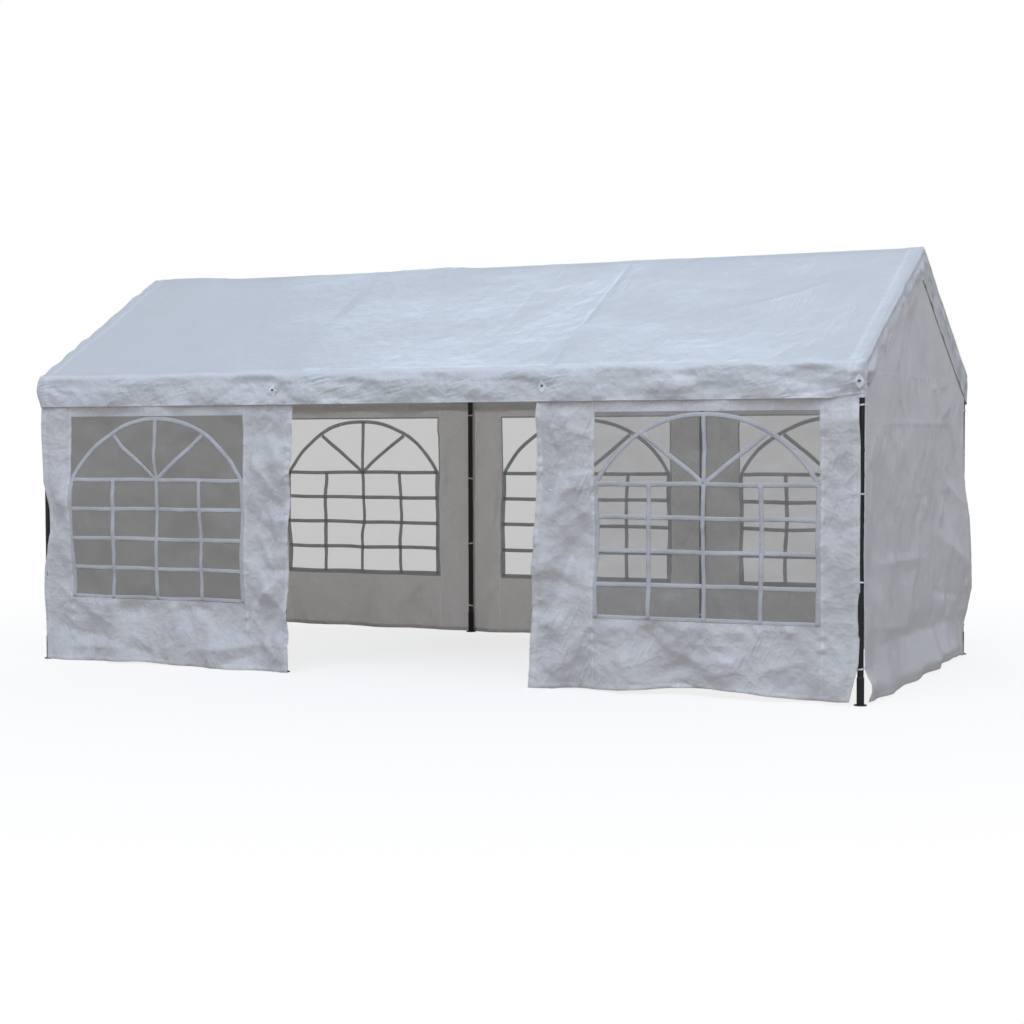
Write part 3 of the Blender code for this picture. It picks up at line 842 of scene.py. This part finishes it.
class Wall:
    """A hung sheet on a chart of u across and z up, with the folds that lift it and the slides of its edges.

    edges holds, for the left and the right edge as seen from outside, rows of (height, slide, push)."""

    def __init__(self, name, side, legs, seed, special, hem_rise, flare, edges, window=None):
        self.name, self.side, self.legs, self.seed = name, side, legs, seed
        self.special, self.hem_rise, self.flare = special, hem_rise, flare
        self.edges, self.window = edges, window
        low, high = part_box(name)
        ends = [float(side.across @ np.array(corner.xy)) for corner in (low, high)]
        self.u0, self.u1 = min(ends), max(ends)
        self.bottom, self.top = low.z, high.z
        self.gabled = side in (LEFT, RIGHT)
        self.sway = 0.004 if self.gabled else 0.020 if side is FRONT else 0.012
        self.held = [min(abs(edge - leg) for leg in legs) < 0.05 for edge in (self.u0, self.u1)]
        height = (-0.012, 0.016) if self.gabled else (-0.020, 0.026)
        low, high = (self.u0, 0), (self.u1, self.top)
        self.scatter = scattered(seed + 20, 110, low, high, (0.10, 0.60), (0.015, 0.08), height)
        self.packing = self.packing_lines()
        self.seams_u = (window[0] - 0.014, window[1] + 0.014) if window else ()
        self.seams_z = (GABLE_SEAM,) if self.gabled else ()

    def packing_lines(self):
        """Creases across the whole sheet, upright and level, where it lay folded in its bag."""
        rng = np.random.default_rng(self.seed + 21)
        lines = []
        for u in np.arange(self.u0 + rng.uniform(0.2, 0.5), self.u1, PACKING_STEP[0]):
            end = (u + rng.uniform(-0.02, 0.02), self.top + 0.2)
            lines.append((u, -0.2, *end, PACKING_WIDTH, rng.uniform(0.002, 0.005)))
        for z in np.arange(rng.uniform(0.2, 0.4), self.top, PACKING_STEP[1]):
            end = (self.u1 + 0.2, z + rng.uniform(-0.03, 0.03))
            lines.append((self.u0 - 0.2, z, *end, PACKING_WIDTH, rng.uniform(-0.005, 0.005)))
        return lines

    def crown(self, u):
        """The height of the sheet's top edge."""
        return self.top - np.abs(u) * np.tan(PITCH) if self.gabled else self.top + 0 * u

    def creasing(self, u, z, toe):
        """The sheet's crumple: facets of two sizes, short creases, and the folds from its packing."""
        seed = self.seed
        coarse, fine = (0.045 * (1 - 0.7 * toe), 0.010) if self.gabled else (0.19, 0.05)
        field = crumple(seed + 4, u, 0.8 * z, 0.44, coarse, 2) * patchy(seed + 17, u, z, 0.8, 0.5)
        field = field + crumple(seed + 8, u, 0.8 * z, 0.12, fine, 2) * patchy(seed + 18, u, z, 0.6, 0.2)
        return field + creases(u, z, self.scatter) + creases(u, z, self.packing)

    def sewing(self, u, z):
        """The pucker along hems and seams, and the folds that fan out from a window's corners."""
        edge = np.minimum(u - self.u0, self.u1 - u)
        field = 0.002 * bell(edge, 0.035) * waves(self.seed + 12, 0 * u, z, 0.07, np.pi / 2, 0.2)
        field -= 0.0015 * bell(edge - HEM, 0.004)
        seams = [(u - place, z) for place in self.seams_u] + [(z - place, u) for place in self.seams_z]
        for aside, along in seams:
            field += 0.0010 * on_seam(aside)
            field += 0.0025 * bell(aside, 0.02) * waves(self.seed + 13, along, 0 * along, 0.09, 0.0, 0.2)
        if self.window:
            left, right, sill, head = self.window
            for corner, heading in (
                ((left, sill), -2.2),
                ((right, sill), -0.9),
                ((left, head), 2.6),
                ((right, head), 0.5),
            ):
                field += fan(u, z, corner, heading, 0.7, 0.7, 10, 0.005)
        return field

    def guard(self, u, z):
        """The least lift of the sheet, which rests on the legs, their sleeves and their base plates."""
        guard = np.full(np.shape(u), -0.07)
        rest = -0.0050 + 0.0030 * (1 - ease(0.17, 0.22, z)) + 0.021 * (1 - ease(0.014, 0.06, z))
        for leg in self.legs:
            beside = bell(np.maximum(np.abs(u - leg) - 0.012, 0), 0.06)
            guard = np.maximum(guard, rest - 0.06 * (1 - beside))
        return guard

    def lift(self, u, z, fine):
        """How far the sheet stands off its plane; fine scales the crumple, which is less at a window."""
        seed = self.seed
        crown = self.crown(u)
        free = 1 - ease(crown - 0.34, crown - 0.18, z)
        loose = np.clip(1 - z / self.top, 0, 1)
        toe = np.clip(1 - z / 0.4, 0, 1) ** 1.5
        fine = fine * (1 - (0.75 if self.gabled else 0.4) * np.clip(1 - z / 0.15, 0, 1))
        field = 0.008 * waves(seed, u, z, 1.2)
        field += 0.008 * loose * waves(seed + 1, u, 0.3 * z, 0.45, 0.0, 0.35)
        field += self.sway * toe * waves(seed + 2, u, 0.5 * z, 0.7, 0.0, 0.4)
        field += self.flare * toe
        field += creases(u, z, self.special)
        rough = self.creasing(u, z, toe) + self.sewing(u, z)
        hold = 1
        for held, distance in zip(self.held, (u - self.u0, self.u1 - u)):
            hold = hold * (1 - 0.8 * held * bell(np.maximum(distance, 0), 0.11))
        field = (field + fine * rough) * free * hold - 0.0025 * (1 - free)
        for edge, rows in zip((u - self.u0, self.u1 - u), self.edges):
            heights, _, pushes = zip(*rows)
            field += np.interp(z, heights, pushes) * bell(np.maximum(edge, 0), 0.35)
        return at_least(self.guard(u, z), field)

    def layers(self, u, z):
        """How far the sheet pales, 0 to 1, where it is doubled in its hems and seams."""
        seams = sum((on_seam(u - place) for place in self.seams_u), 0 * u)
        seams = seams + sum(bell(z - place, SEAM_HALF) for place in self.seams_z)
        from_side = np.minimum(u - self.u0, self.u1 - u)
        from_end = np.minimum(z - self.bottom, self.crown(u) - z)
        hem = 1 - ease(HEM, HEM + STITCH, np.minimum(from_side, from_end))
        return np.clip(0.5 * hem + 0.7 * seams, 0, 1)

    def place(self, u, z, extra, fine):
        """The point of the finished sheet, lifted extra off it."""
        lift = self.lift(u, z, fine) + extra
        stops, rises = zip(*self.hem_rise)
        share = (u - self.u0) / (self.u1 - self.u0)
        rise = (np.interp(share, stops, rises) - HEM_DROP) * np.clip(1 - z / 0.35, 0, 1) ** 2
        slide = 0 * u
        for edge, rows in zip((u - self.u0, self.u1 - u), self.edges):
            heights, slides, _ = zip(*rows)
            slide = slide + np.interp(z, heights, slides) * np.exp(-np.maximum(edge, 0) / 0.10)
        point = self.side.place(u + slide, z + rise, lift)
        return bulge(point) if self.gabled else point

    def sheet(self, spacing):
        """The hemmed sheet, on a grid with lines along the hems, the seams and the window's edges."""
        steps = [side * SEAM_HALF + edge for side in (-1, 1) for edge in (-STITCH_EDGE, STITCH_EDGE)]
        marks = [self.u0 + HEM, self.u1 - HEM, self.u0 + HEM + STITCH, self.u1 - HEM - STITCH]
        rows = [self.bottom + HEM, self.bottom + HEM + STITCH]
        marks += [place + step for place in self.seams_u for step in steps]
        rows += [place + step for place in self.seams_z for step in steps]
        if self.window:
            left, right, sill, head = self.window
            marks += [left, right]
            rows += [sill, head]
        u, u_layer = hemmed(stations(self.u0, self.u1, spacing, *marks, 0.0 if self.gabled else self.u0))
        rows += [GABLE_FROM] if self.gabled else []
        z, z_layer = hemmed(stations(self.bottom, self.top, spacing, *rows), last=False)
        u, z = np.meshgrid(u, z)
        if self.gabled:
            share = np.clip((z - GABLE_FROM) / (self.top - GABLE_FROM), 0, 1)
            z = np.where(z > GABLE_FROM, GABLE_FROM + share * (self.crown(u) - GABLE_FROM), z)
        folded = u_layer[None, :] + z_layer[:, None]
        fine, keep = 1.0, None
        if self.window:
            fine = self.calm(u, z)
            middle_u = (u[:-1, :-1] + u[:-1, 1:]) / 2
            middle_z = (z[:-1, :-1] + z[1:, :-1]) / 2
            keep = (middle_u <= left) | (middle_u >= right) | (middle_z <= sill) | (middle_z >= head)
        points = self.place(u, z, -HEM_GAP * folded, fine)
        chart = np.stack([u + self.seed * 0.01, z], -1)
        finish, layers = END if self.gabled else WALL, self.layers(u, z)
        return skin(f"{self.name}_sheet", points, chart, finish, "wall_sheet", [self.name], keep, layers)

    def calm(self, u, z):
        """The share of the crumple that is left: 1 on the sheet and WINDOW_CALM on the window."""
        left, right, sill, head = self.window
        outside = np.maximum(np.maximum(left - u, u - right), np.maximum(sill - z, z - head))
        return WINDOW_CALM + (1 - WINDOW_CALM) * ease(-0.02, 0.07, outside)

    def pane_lift(self, u, z):
        """The pane's own waves, which end at the window's edge."""
        left, right, sill, head = self.window
        inset = np.minimum(np.minimum(u - left, right - u), np.minimum(z - sill, head - z))
        own = 0.004 * waves(self.seed + 14, u, z, 0.32) + crumple(self.seed + 15, u, z, 0.22, 0.03, 2)
        return own * ease(0, 0.15, inset) - 0.0015

    def pane(self):
        """The clear pane behind the hole."""
        left, right, sill, head = self.window
        u = stations(left - WINDOW_LAP, right + WINDOW_LAP, 0.02, left, right)
        z = stations(sill - WINDOW_LAP, head + WINDOW_LAP, 0.02, sill, head)
        u, z = np.meshgrid(u, z)
        points = self.place(u, z, self.pane_lift(u, z), self.calm(u, z))
        node_name = self.name.replace("_wall", "_window")
        return skin(f"{node_name}_pane", points, np.stack([u, z], -1), PANE, "window_sheet", [node_name])

    def bars(self):
        """Tape bars: an arch with three spokes over a rail, and four rows of four lights below it.

        Each set lies one level over the last: arch, spokes, rails, uprights."""
        left, right, sill, head = self.window
        middle = (left + right) / 2
        spring = sill + SPRING
        half = (right - left) / 2 - BAR_INSET
        radius = (half ** 2 + ARCH_RISE ** 2) / (2 * ARCH_RISE)
        sweep = np.arcsin(half / radius)
        angle = np.linspace(-sweep, sweep, 81)
        crest = spring + ARCH_RISE
        arch = np.stack([middle + radius * np.sin(angle), crest - radius * (1 - np.cos(angle))], -1)
        paths = [(arch, 1)]
        t = np.linspace(0, 1, 25)[:, None]
        for reach in SPOKES:
            paths.append((np.array([middle, spring]) + t * np.array(reach), 2))
        for z in np.linspace(sill + BAR_INSET, spring, 5):
            u = np.linspace(left + 0.001, right - 0.001, 73)
            paths.append((np.stack([u, np.full_like(u, z)], -1), 3))
        for u in (left + BAR_INSET, (left + middle) / 2, middle, (right + middle) / 2, right - BAR_INSET):
            z = np.linspace(sill + 0.001, spring, 61)
            paths.append((np.stack([np.full_like(z, u), z], -1), 4))
        grids = []
        across = np.linspace(-BAR_WIDTH / 2, BAR_WIDTH / 2, 4)
        for path, level in paths:
            heading = np.gradient(path, axis=0)
            heading /= np.linalg.norm(heading, axis=1, keepdims=True)
            normal = np.stack([heading[:, 1], -heading[:, 0]], -1)
            spots = path[:, None, :] + across[None, :, None] * normal[:, None, :]
            sway = 0.003 * waves(self.seed + 16, spots[..., 0], spots[..., 1], 0.6)
            u, z = spots[..., 0] + sway, spots[..., 1] + 0.6 * sway
            u = np.clip(u, left, right)
            z = np.clip(z, sill, head)
            lift = self.pane_lift(u, z) + BAR_LEVEL * level
            grids.append((self.place(u, z, lift, self.calm(u, z)), spots))
        strips = joined(f"{self.name.replace('_wall', '_window')}_bars", grids, TAPE, "wall_sheet")
        thicken(strips, BAR_THICKNESS, 1.0)
        return strips


# Folds seen in the photograph: start, end, widths right and left of the line, height
FRONT_LEFT_FOLDS = [
    (-1.30, 1.55, -0.90, 1.05, (0.10, 0.045), 0.030),
    (-1.30, 1.28, -0.98, 0.86, (0.09, 0.040), 0.026),
    (-1.26, 1.02, -0.95, 0.60, (0.08, 0.040), 0.026),
    (-1.20, 0.78, -0.92, 0.40, (0.03, 0.090), -0.022),
    (-3.02, 0.25, -2.20, 0.13, (0.07, 0.060), -0.034),
    (-2.98, 0.10, -2.10, 0.12, (0.06, 0.060), 0.038),
    (-2.45, 0.16, -1.96, 0.04, (0.04, 0.060), -0.026),
    (-2.60, 0.36, -1.10, 0.42, (0.10, 0.080), -0.030),
    (-1.96, 0.09, -0.95, 0.21, (0.10, 0.060), 0.042),
    (-1.60, 0.00, -1.05, 0.17, (0.05, 0.060), -0.030),
    (-2.75, 0.45, -2.35, 0.22, (0.05, 0.035), 0.020),
    (-1.96, 0.50, -1.96, 0.00, (0.02, 0.035), 0.012),
    (-2.95, 0.62, -2.70, 0.40, (0.05, 0.035), 0.018),
    (-2.96, 1.35, -2.80, 0.90, (0.05, 0.060), 0.014),
    (-2.96, 0.95, -2.78, 0.55, (0.03, 0.060), -0.014),
]
FRONT_RIGHT_FOLDS = [
    (0.97, 0.18, 1.22, 0.66, (0.03, 0.070), 0.026),
    (0.92, 0.16, 1.17, 0.50, (0.05, 0.035), -0.018),
    (0.95, 0.75, 1.18, 1.25, (0.06, 0.035), 0.018),
    (0.93, 1.10, 1.16, 1.60, (0.03, 0.070), -0.016),
    (1.53, 0.40, 1.63, 0.00, (0.025, 0.055), -0.020),
    (2.18, 0.48, 2.40, 0.30, (0.05, 0.035), 0.020),
    (2.34, 0.16, 2.68, 0.25, (0.04, 0.035), 0.020),
    (1.10, 1.06, 1.32, 1.16, 0.020, 0.014),
    (1.68, 0.35, 2.14, 0.12, (0.06, 0.045), 0.020),
    (1.20, 0.34, 1.60, 0.22, (0.03, 0.070), -0.018),
    (2.78, 0.98, 2.97, 0.50, (0.05, 0.045), 0.022),
    (2.78, 1.64, 2.97, 1.15, (0.05, 0.045), -0.018),
    (2.80, 1.45, 2.96, 1.05, (0.03, 0.055), 0.018),
]
END_RIGHT_FOLDS = [
    (0.0, 2.66, 0.0, 1.80, (0.03, 0.019), 0.018),
    (0.0, 2.62, -0.46, 1.90, (0.02, 0.048), -0.014),
    (-0.75, 2.25, -0.45, 1.60, (0.04, 0.030), 0.012),
    (0.55, 2.25, 0.42, 1.50, (0.04, 0.030), 0.012),
    (-1.6, 1.675, 1.6, 1.68, (0.02, 0.030), 0.010),
    (-1.5, 0.82, 0.55, 0.78, (0.03, 0.050), 0.016),
    (-1.5, 0.46, -0.05, 0.34, (0.03, 0.050), 0.016),
    (-1.7, 0.34, 1.8, 0.27, (0.09, 0.09), -0.040),
    (-1.5, 0.07, 1.9, 0.09, (0.10, 0.10), 0.052),
    (0.30, 1.02, 1.60, 0.56, (0.12, 0.10), 0.036),
    (0.05, 0.58, 1.40, 0.44, (0.05, 0.050), -0.020),
    (0.55, 1.35, 1.50, 1.02, (0.06, 0.080), 0.020),
    (-1.35, 1.60, -1.15, 0.40, (0.04, 0.024), 0.008),
]


def tied(sign, seed):
    """The rows of an edge tied to a leg: it reaches to the leg at the ties and dips back between them."""
    dips = np.random.default_rng(seed).uniform(0.004, 0.022, 4)
    heights = np.linspace(0, 1.95, 40)
    marks = np.array([TIE_HEIGHTS[0] - 0.5, *TIE_HEIGHTS, TIE_HEIGHTS[-1] + 0.5])
    gap = np.clip(np.searchsorted(marks, heights) - 1, 0, 4)
    between = np.sin(np.pi * (heights - marks[gap]) / (marks[gap + 1] - marks[gap]))
    dip = np.append(dips, 0.0)[gap] * between
    return [(height, sign * (TIE_REACH - back), 0.0) for height, back in zip(heights, dip)]


def walls():
    """All seven walls. The front ones run past the middle legs, the rear ones meet over them.

    The rises are (share of the width, height of the hem), the edges rows of (height, slide, push)."""
    flat = ((0, 0), (1, 0))
    left_rise = ((0, 0.004), (0.16, 0.0), (0.38, 0.018), (0.52, 0.004), (0.75, 0.0), (1, 0.004))
    end_rise = ((0, 0.016), (0.35, 0.012), (0.6, 0.028), (0.8, 0.038), (0.93, 0.02), (1, 0.004))
    right_rise = ((0, 0.0), (0.2, 0.008), (0.4, 0.035), (0.56, 0.052), (0.7, 0.04), (0.85, 0.012), (1, 0.02))
    lean = [(0, -0.012, 0.03), (0.06, -0.020, 0.02), (0.5, -0.028, 0), (1.2, -0.018, 0), (1.75, 0, 0)]
    pulled = [(0, -0.010, 0.012), (0.12, -0.020, 0), (0.3, -0.036, 0), (0.5, -0.048, 0), (0.66, -0.044, 0),
              (0.76, -0.020, 0), (0.92, 0.012, 0), (1.10, 0.006, 0), (1.28, -0.036, 0), (1.6, -0.052, 0),
              (1.95, -0.052, 0)]
    wide_lean = [(0, -0.042, 0.012), (0.5, -0.038, 0), (1.2, -0.014, 0), (1.75, 0, 0)]
    drawn = [(0, -0.036, 0.02), (0.24, 0.018, 0.0), (0.5, 0.024, 0), (1.55, 0.026, 0), (1.70, 0.024, 0.024),
             (1.80, 0.018, 0.008), (1.9, 0.012, 0)]
    still = [(0, 0, 0), (1.9, 0, 0)]
    edges = {
        "front_left_wall": (pulled, lean),
        "front_right_wall": (wide_lean, drawn),
        "rear_left_wall": (still, tied(1, 31)),
        "rear_middle_wall": (still, still),
        "rear_right_wall": (tied(-1, 33), still),
    }
    for name, side, legs, folds, rise, seed in (
        ("front_left_wall", FRONT, LEG_X[:2], FRONT_LEFT_FOLDS, left_rise, 100),
        ("front_right_wall", FRONT, LEG_X[2:], FRONT_RIGHT_FOLDS, right_rise, 200),
        ("rear_left_wall", REAR, [-x for x in LEG_X[:2]], [], flat, 300),
        ("rear_middle_wall", REAR, LEG_X[1:3], [], flat, 400),
        ("rear_right_wall", REAR, [-x for x in LEG_X[2:]], [], flat, 500),
    ):
        hole_low, hole_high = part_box(name.replace("_wall", "_window"))
        ends = [float(side.across @ np.array(corner.xy)) for corner in (hole_low, hole_high)]
        wall = Wall(name, side, legs, seed, folds, rise, 0.012, edges[name],
                    (min(ends), max(ends), hole_low.z, hole_high.z))
        sheet, pane, strips = wall.sheet(WALL_STEP), wall.pane(), wall.bars()
    front_corner = [(0, 0.010, 0.006), (0.03, 0.014, 0.014), (0.08, 0.016, 0.030), (0.12, 0.012, 0.030),
                    (0.17, -0.006, 0.012), (0.22, -0.036, 0), (0.5, -0.036, 0), (1.7, -0.034, 0),
                    (1.9, -0.024, 0)]
    rear_corner = [(0, -0.120, 0), (0.12, -0.115, 0), (0.22, -0.07, 0.004), (0.32, -0.01, 0.02),
                   (0.5, 0.01, 0.05), (0.75, 0.008, 0.045), (1.0, 0.004, 0.03), (1.2, -0.02, 0.005),
                   (1.35, -0.045, 0), (1.7, -0.045, 0), (1.9, -0.02, 0)]
    for name, side, folds, seed, edges in (
        ("end_wall_left", LEFT, [], 600, (tied(-1, 61), tied(1, 62))),
        ("end_wall_right", RIGHT, END_RIGHT_FOLDS, 700, (front_corner, rear_corner)),
    ):
        rise = end_rise if side is RIGHT else flat
        wall = Wall(name, side, (-LEG_Y, LEG_Y), seed, folds, rise, 0.03, edges)
        sheet = wall.sheet(END_WALL_STEP)


# Ties

def leg_ring(x, y, height, turn, phase):
    """Flat elastic round a leg, a little out of level."""
    tilt = 0.004 * np.cos(turn + phase)
    ring = np.stack([x + TIE_RADIUS * np.cos(turn), y + TIE_RADIUS * np.sin(turn), height + tilt], -1)
    return band(ring, 0.0012, 0.0055)


def hem_loop(centre, across, height, turn):
    """A round cord through a hem: an upright ellipse that runs along across and up."""
    flat = np.array(centre) + LOOP_HALF[0] * np.cos(turn)[:, None] * np.array(across)
    loop = np.column_stack([flat, height + LOOP_HALF[1] * np.sin(turn)])
    return band(loop, 0.0014, 0.0014, 8)


def ties():
    """White elastic round each leg at four heights, with a small loop through the hem of each wall there at
    the four corner legs.
    """
    turn = np.linspace(0, 2 * np.pi, 41)[:-1]
    for row, y in (("front", -LEG_Y), ("rear", LEG_Y)):
        outward = np.sign(y)
        for number, x in enumerate(LEG_X, 1):
            inward = -np.sign(x)
            side_hem = (x + LOOP_INSET * inward, outward * (SIDE_PLANE + LOOP_OUT))
            end_hem = (-inward * (END_PLANE + LOOP_OUT), y - LOOP_INSET * outward)
            grids = []
            for height in TIE_HEIGHTS:
                grids.append(leg_ring(x, y, height, turn, number + 5 * height))
                if number in (1, 4):
                    grids.append(hem_loop(side_hem, (1, 0), height, turn))
                    grids.append(hem_loop(end_hem, (0, 1), height, turn))
            joined(f"leg_ties_{row}_{number}", grids, ELASTIC, "wall_sheet")


def frame_finishes():
    """The frame's own nodes get the powder-coat finish."""
    for name, node_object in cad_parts.items():
        if name.startswith(("leg", "eave", "ridge", "rafter")):
            node_object.data.materials.clear()
            node_object.data.materials.append(TUBE)


# Stage

def camera():
    """The photograph's camera: place, yaw, pitch, roll and focal length fitted to the feet and eaves."""
    place = (5.8186, -12.3318, 1.5977)
    yaw, pitch, roll = np.radians((25.074, -2.285, -0.184))
    forward = np.array([-np.sin(yaw) * np.cos(pitch), np.cos(yaw) * np.cos(pitch), np.sin(pitch)])
    right = np.array([np.cos(yaw), np.sin(yaw), 0.0])
    up = np.cross(right, forward)
    right, up = np.cos(roll) * right + np.sin(roll) * up, np.cos(roll) * up - np.sin(roll) * right
    turn = Matrix(np.column_stack([right, up, -forward]).tolist()).to_4x4()
    data = bpy.data.cameras.new("camera")
    data.sensor_width = 36
    data.lens = 65.86
    made = bpy.data.objects.new("camera", data)
    made.matrix_world = Matrix.Translation(place) @ turn
    bpy.context.scene.collection.objects.link(made)
    bpy.context.scene.camera = made


def sky():
    """Even grey light from the horizon, weaker overhead where the lamps are. The backdrop is white."""
    world = bpy.data.worlds.new("studio")
    bpy.context.scene.world = world
    world.use_nodes = True
    tree = world.node_tree
    where = node(tree, "ShaderNodeTexCoord")
    split = node(tree, "ShaderNodeSeparateXYZ", Vector=where.outputs["Generated"])
    ramp = node(tree, "ShaderNodeValToRGB", Fac=split.outputs["Z"])
    ramp.color_ramp.elements[0].color = (0.786, 0.759, 0.798, 1)
    ramp.color_ramp.elements[1].color = (0.17, 0.22, 0.27, 1)
    light = tree.nodes["Background"]
    tree.links.new(ramp.outputs["Color"], light.inputs["Color"])
    light.inputs["Strength"].default_value = 1.0
    white = node(tree, "ShaderNodeBackground", Color=(1, 1, 1, 1))
    path = node(tree, "ShaderNodeLightPath")
    mix = node(tree, "ShaderNodeMixShader", Fac=path.outputs["Is Camera Ray"],
               _1=light.outputs[0], _2=white.outputs[0])
    tree.links.new(mix.outputs[0], tree.nodes["World Output"].inputs["Surface"])


def floor():
    """A pale floor: for the camera lit and brightened towards the backdrop, for other rays warm grey."""
    radius, sides = 60, 96
    turn = np.linspace(0, 2 * np.pi, sides + 1)[:-1]
    rim = np.column_stack([radius * np.cos(turn), radius * np.sin(turn), 0 * turn])
    disc = bpy.data.meshes.new("floor")
    disc.from_pydata(rim.tolist(), [], [list(range(sides))])
    ground = bpy.data.objects.new("floor", disc)
    bpy.context.scene.collection.objects.link(ground)
    finish = bpy.data.materials.new("floor_finish")
    finish.use_nodes = True
    disc.materials.append(finish)
    tree = finish.node_tree
    tree.nodes.remove(tree.nodes["Principled BSDF"])
    warm = node(tree, "ShaderNodeBsdfDiffuse", Color=(0.36, 0.33, 0.30, 1))
    pale = node(tree, "ShaderNodeBsdfDiffuse", Color=(0.92, 0.92, 0.92, 1))
    glow = node(tree, "ShaderNodeEmission", Color=(1, 1, 1, 1), Strength=1.0)
    where = node(tree, "ShaderNodeTexCoord")
    far = node(tree, "ShaderNodeVectorMath", operation="LENGTH", _0=where.outputs["Object"])
    fade = node(tree, "ShaderNodeMapRange", Value=far.outputs["Value"], From_Min=1.0, From_Max=7.0,
                To_Min=0.72, To_Max=1.0)
    shown = node(tree, "ShaderNodeMixShader", Fac=fade.outputs["Result"],
                 _1=pale.outputs[0], _2=glow.outputs[0])
    path = node(tree, "ShaderNodeLightPath")
    both = node(tree, "ShaderNodeMixShader", Fac=path.outputs["Is Camera Ray"],
                _1=warm.outputs[0], _2=shown.outputs[0])
    tree.links.new(both.outputs[0], tree.nodes["Material Output"].inputs["Surface"])


def lamps():
    """Four large soft boxes round the tent; the strongest stands high in front."""
    for name, spot, power, tint in (
        ("front_high_lamp", (3, -12, 20), 1613, (0.90, 1.0, 1.13)),
        ("front_left_lamp", (-7, -18, 13), 544, (0.68, 1.0, 1.44)),
        ("right_lamp", (15, -3, 17), 558, (0.76, 1.0, 1.37)),
        ("back_lamp", (-8, 16, 12), 1000, (0.78, 1.0, 1.21)),
    ):
        data = bpy.data.lights.new(name, "AREA")
        data.shape = "SQUARE"
        data.size = 10.0
        data.energy = power
        data.color = tint
        made = bpy.data.objects.new(name, data)
        spot = Vector(spot)
        aim = (Vector((0, 0, 1.2)) - spot).to_track_quat("-Z", "Y")
        made.matrix_world = Matrix.Translation(spot) @ aim.to_matrix().to_4x4()
        bpy.context.scene.collection.objects.link(made)


roof_cover()
walls()
ties()
frame_finishes()
sky()
floor()
lamps()
camera()
bpy.context.scene.view_settings.view_transform = "Standard"
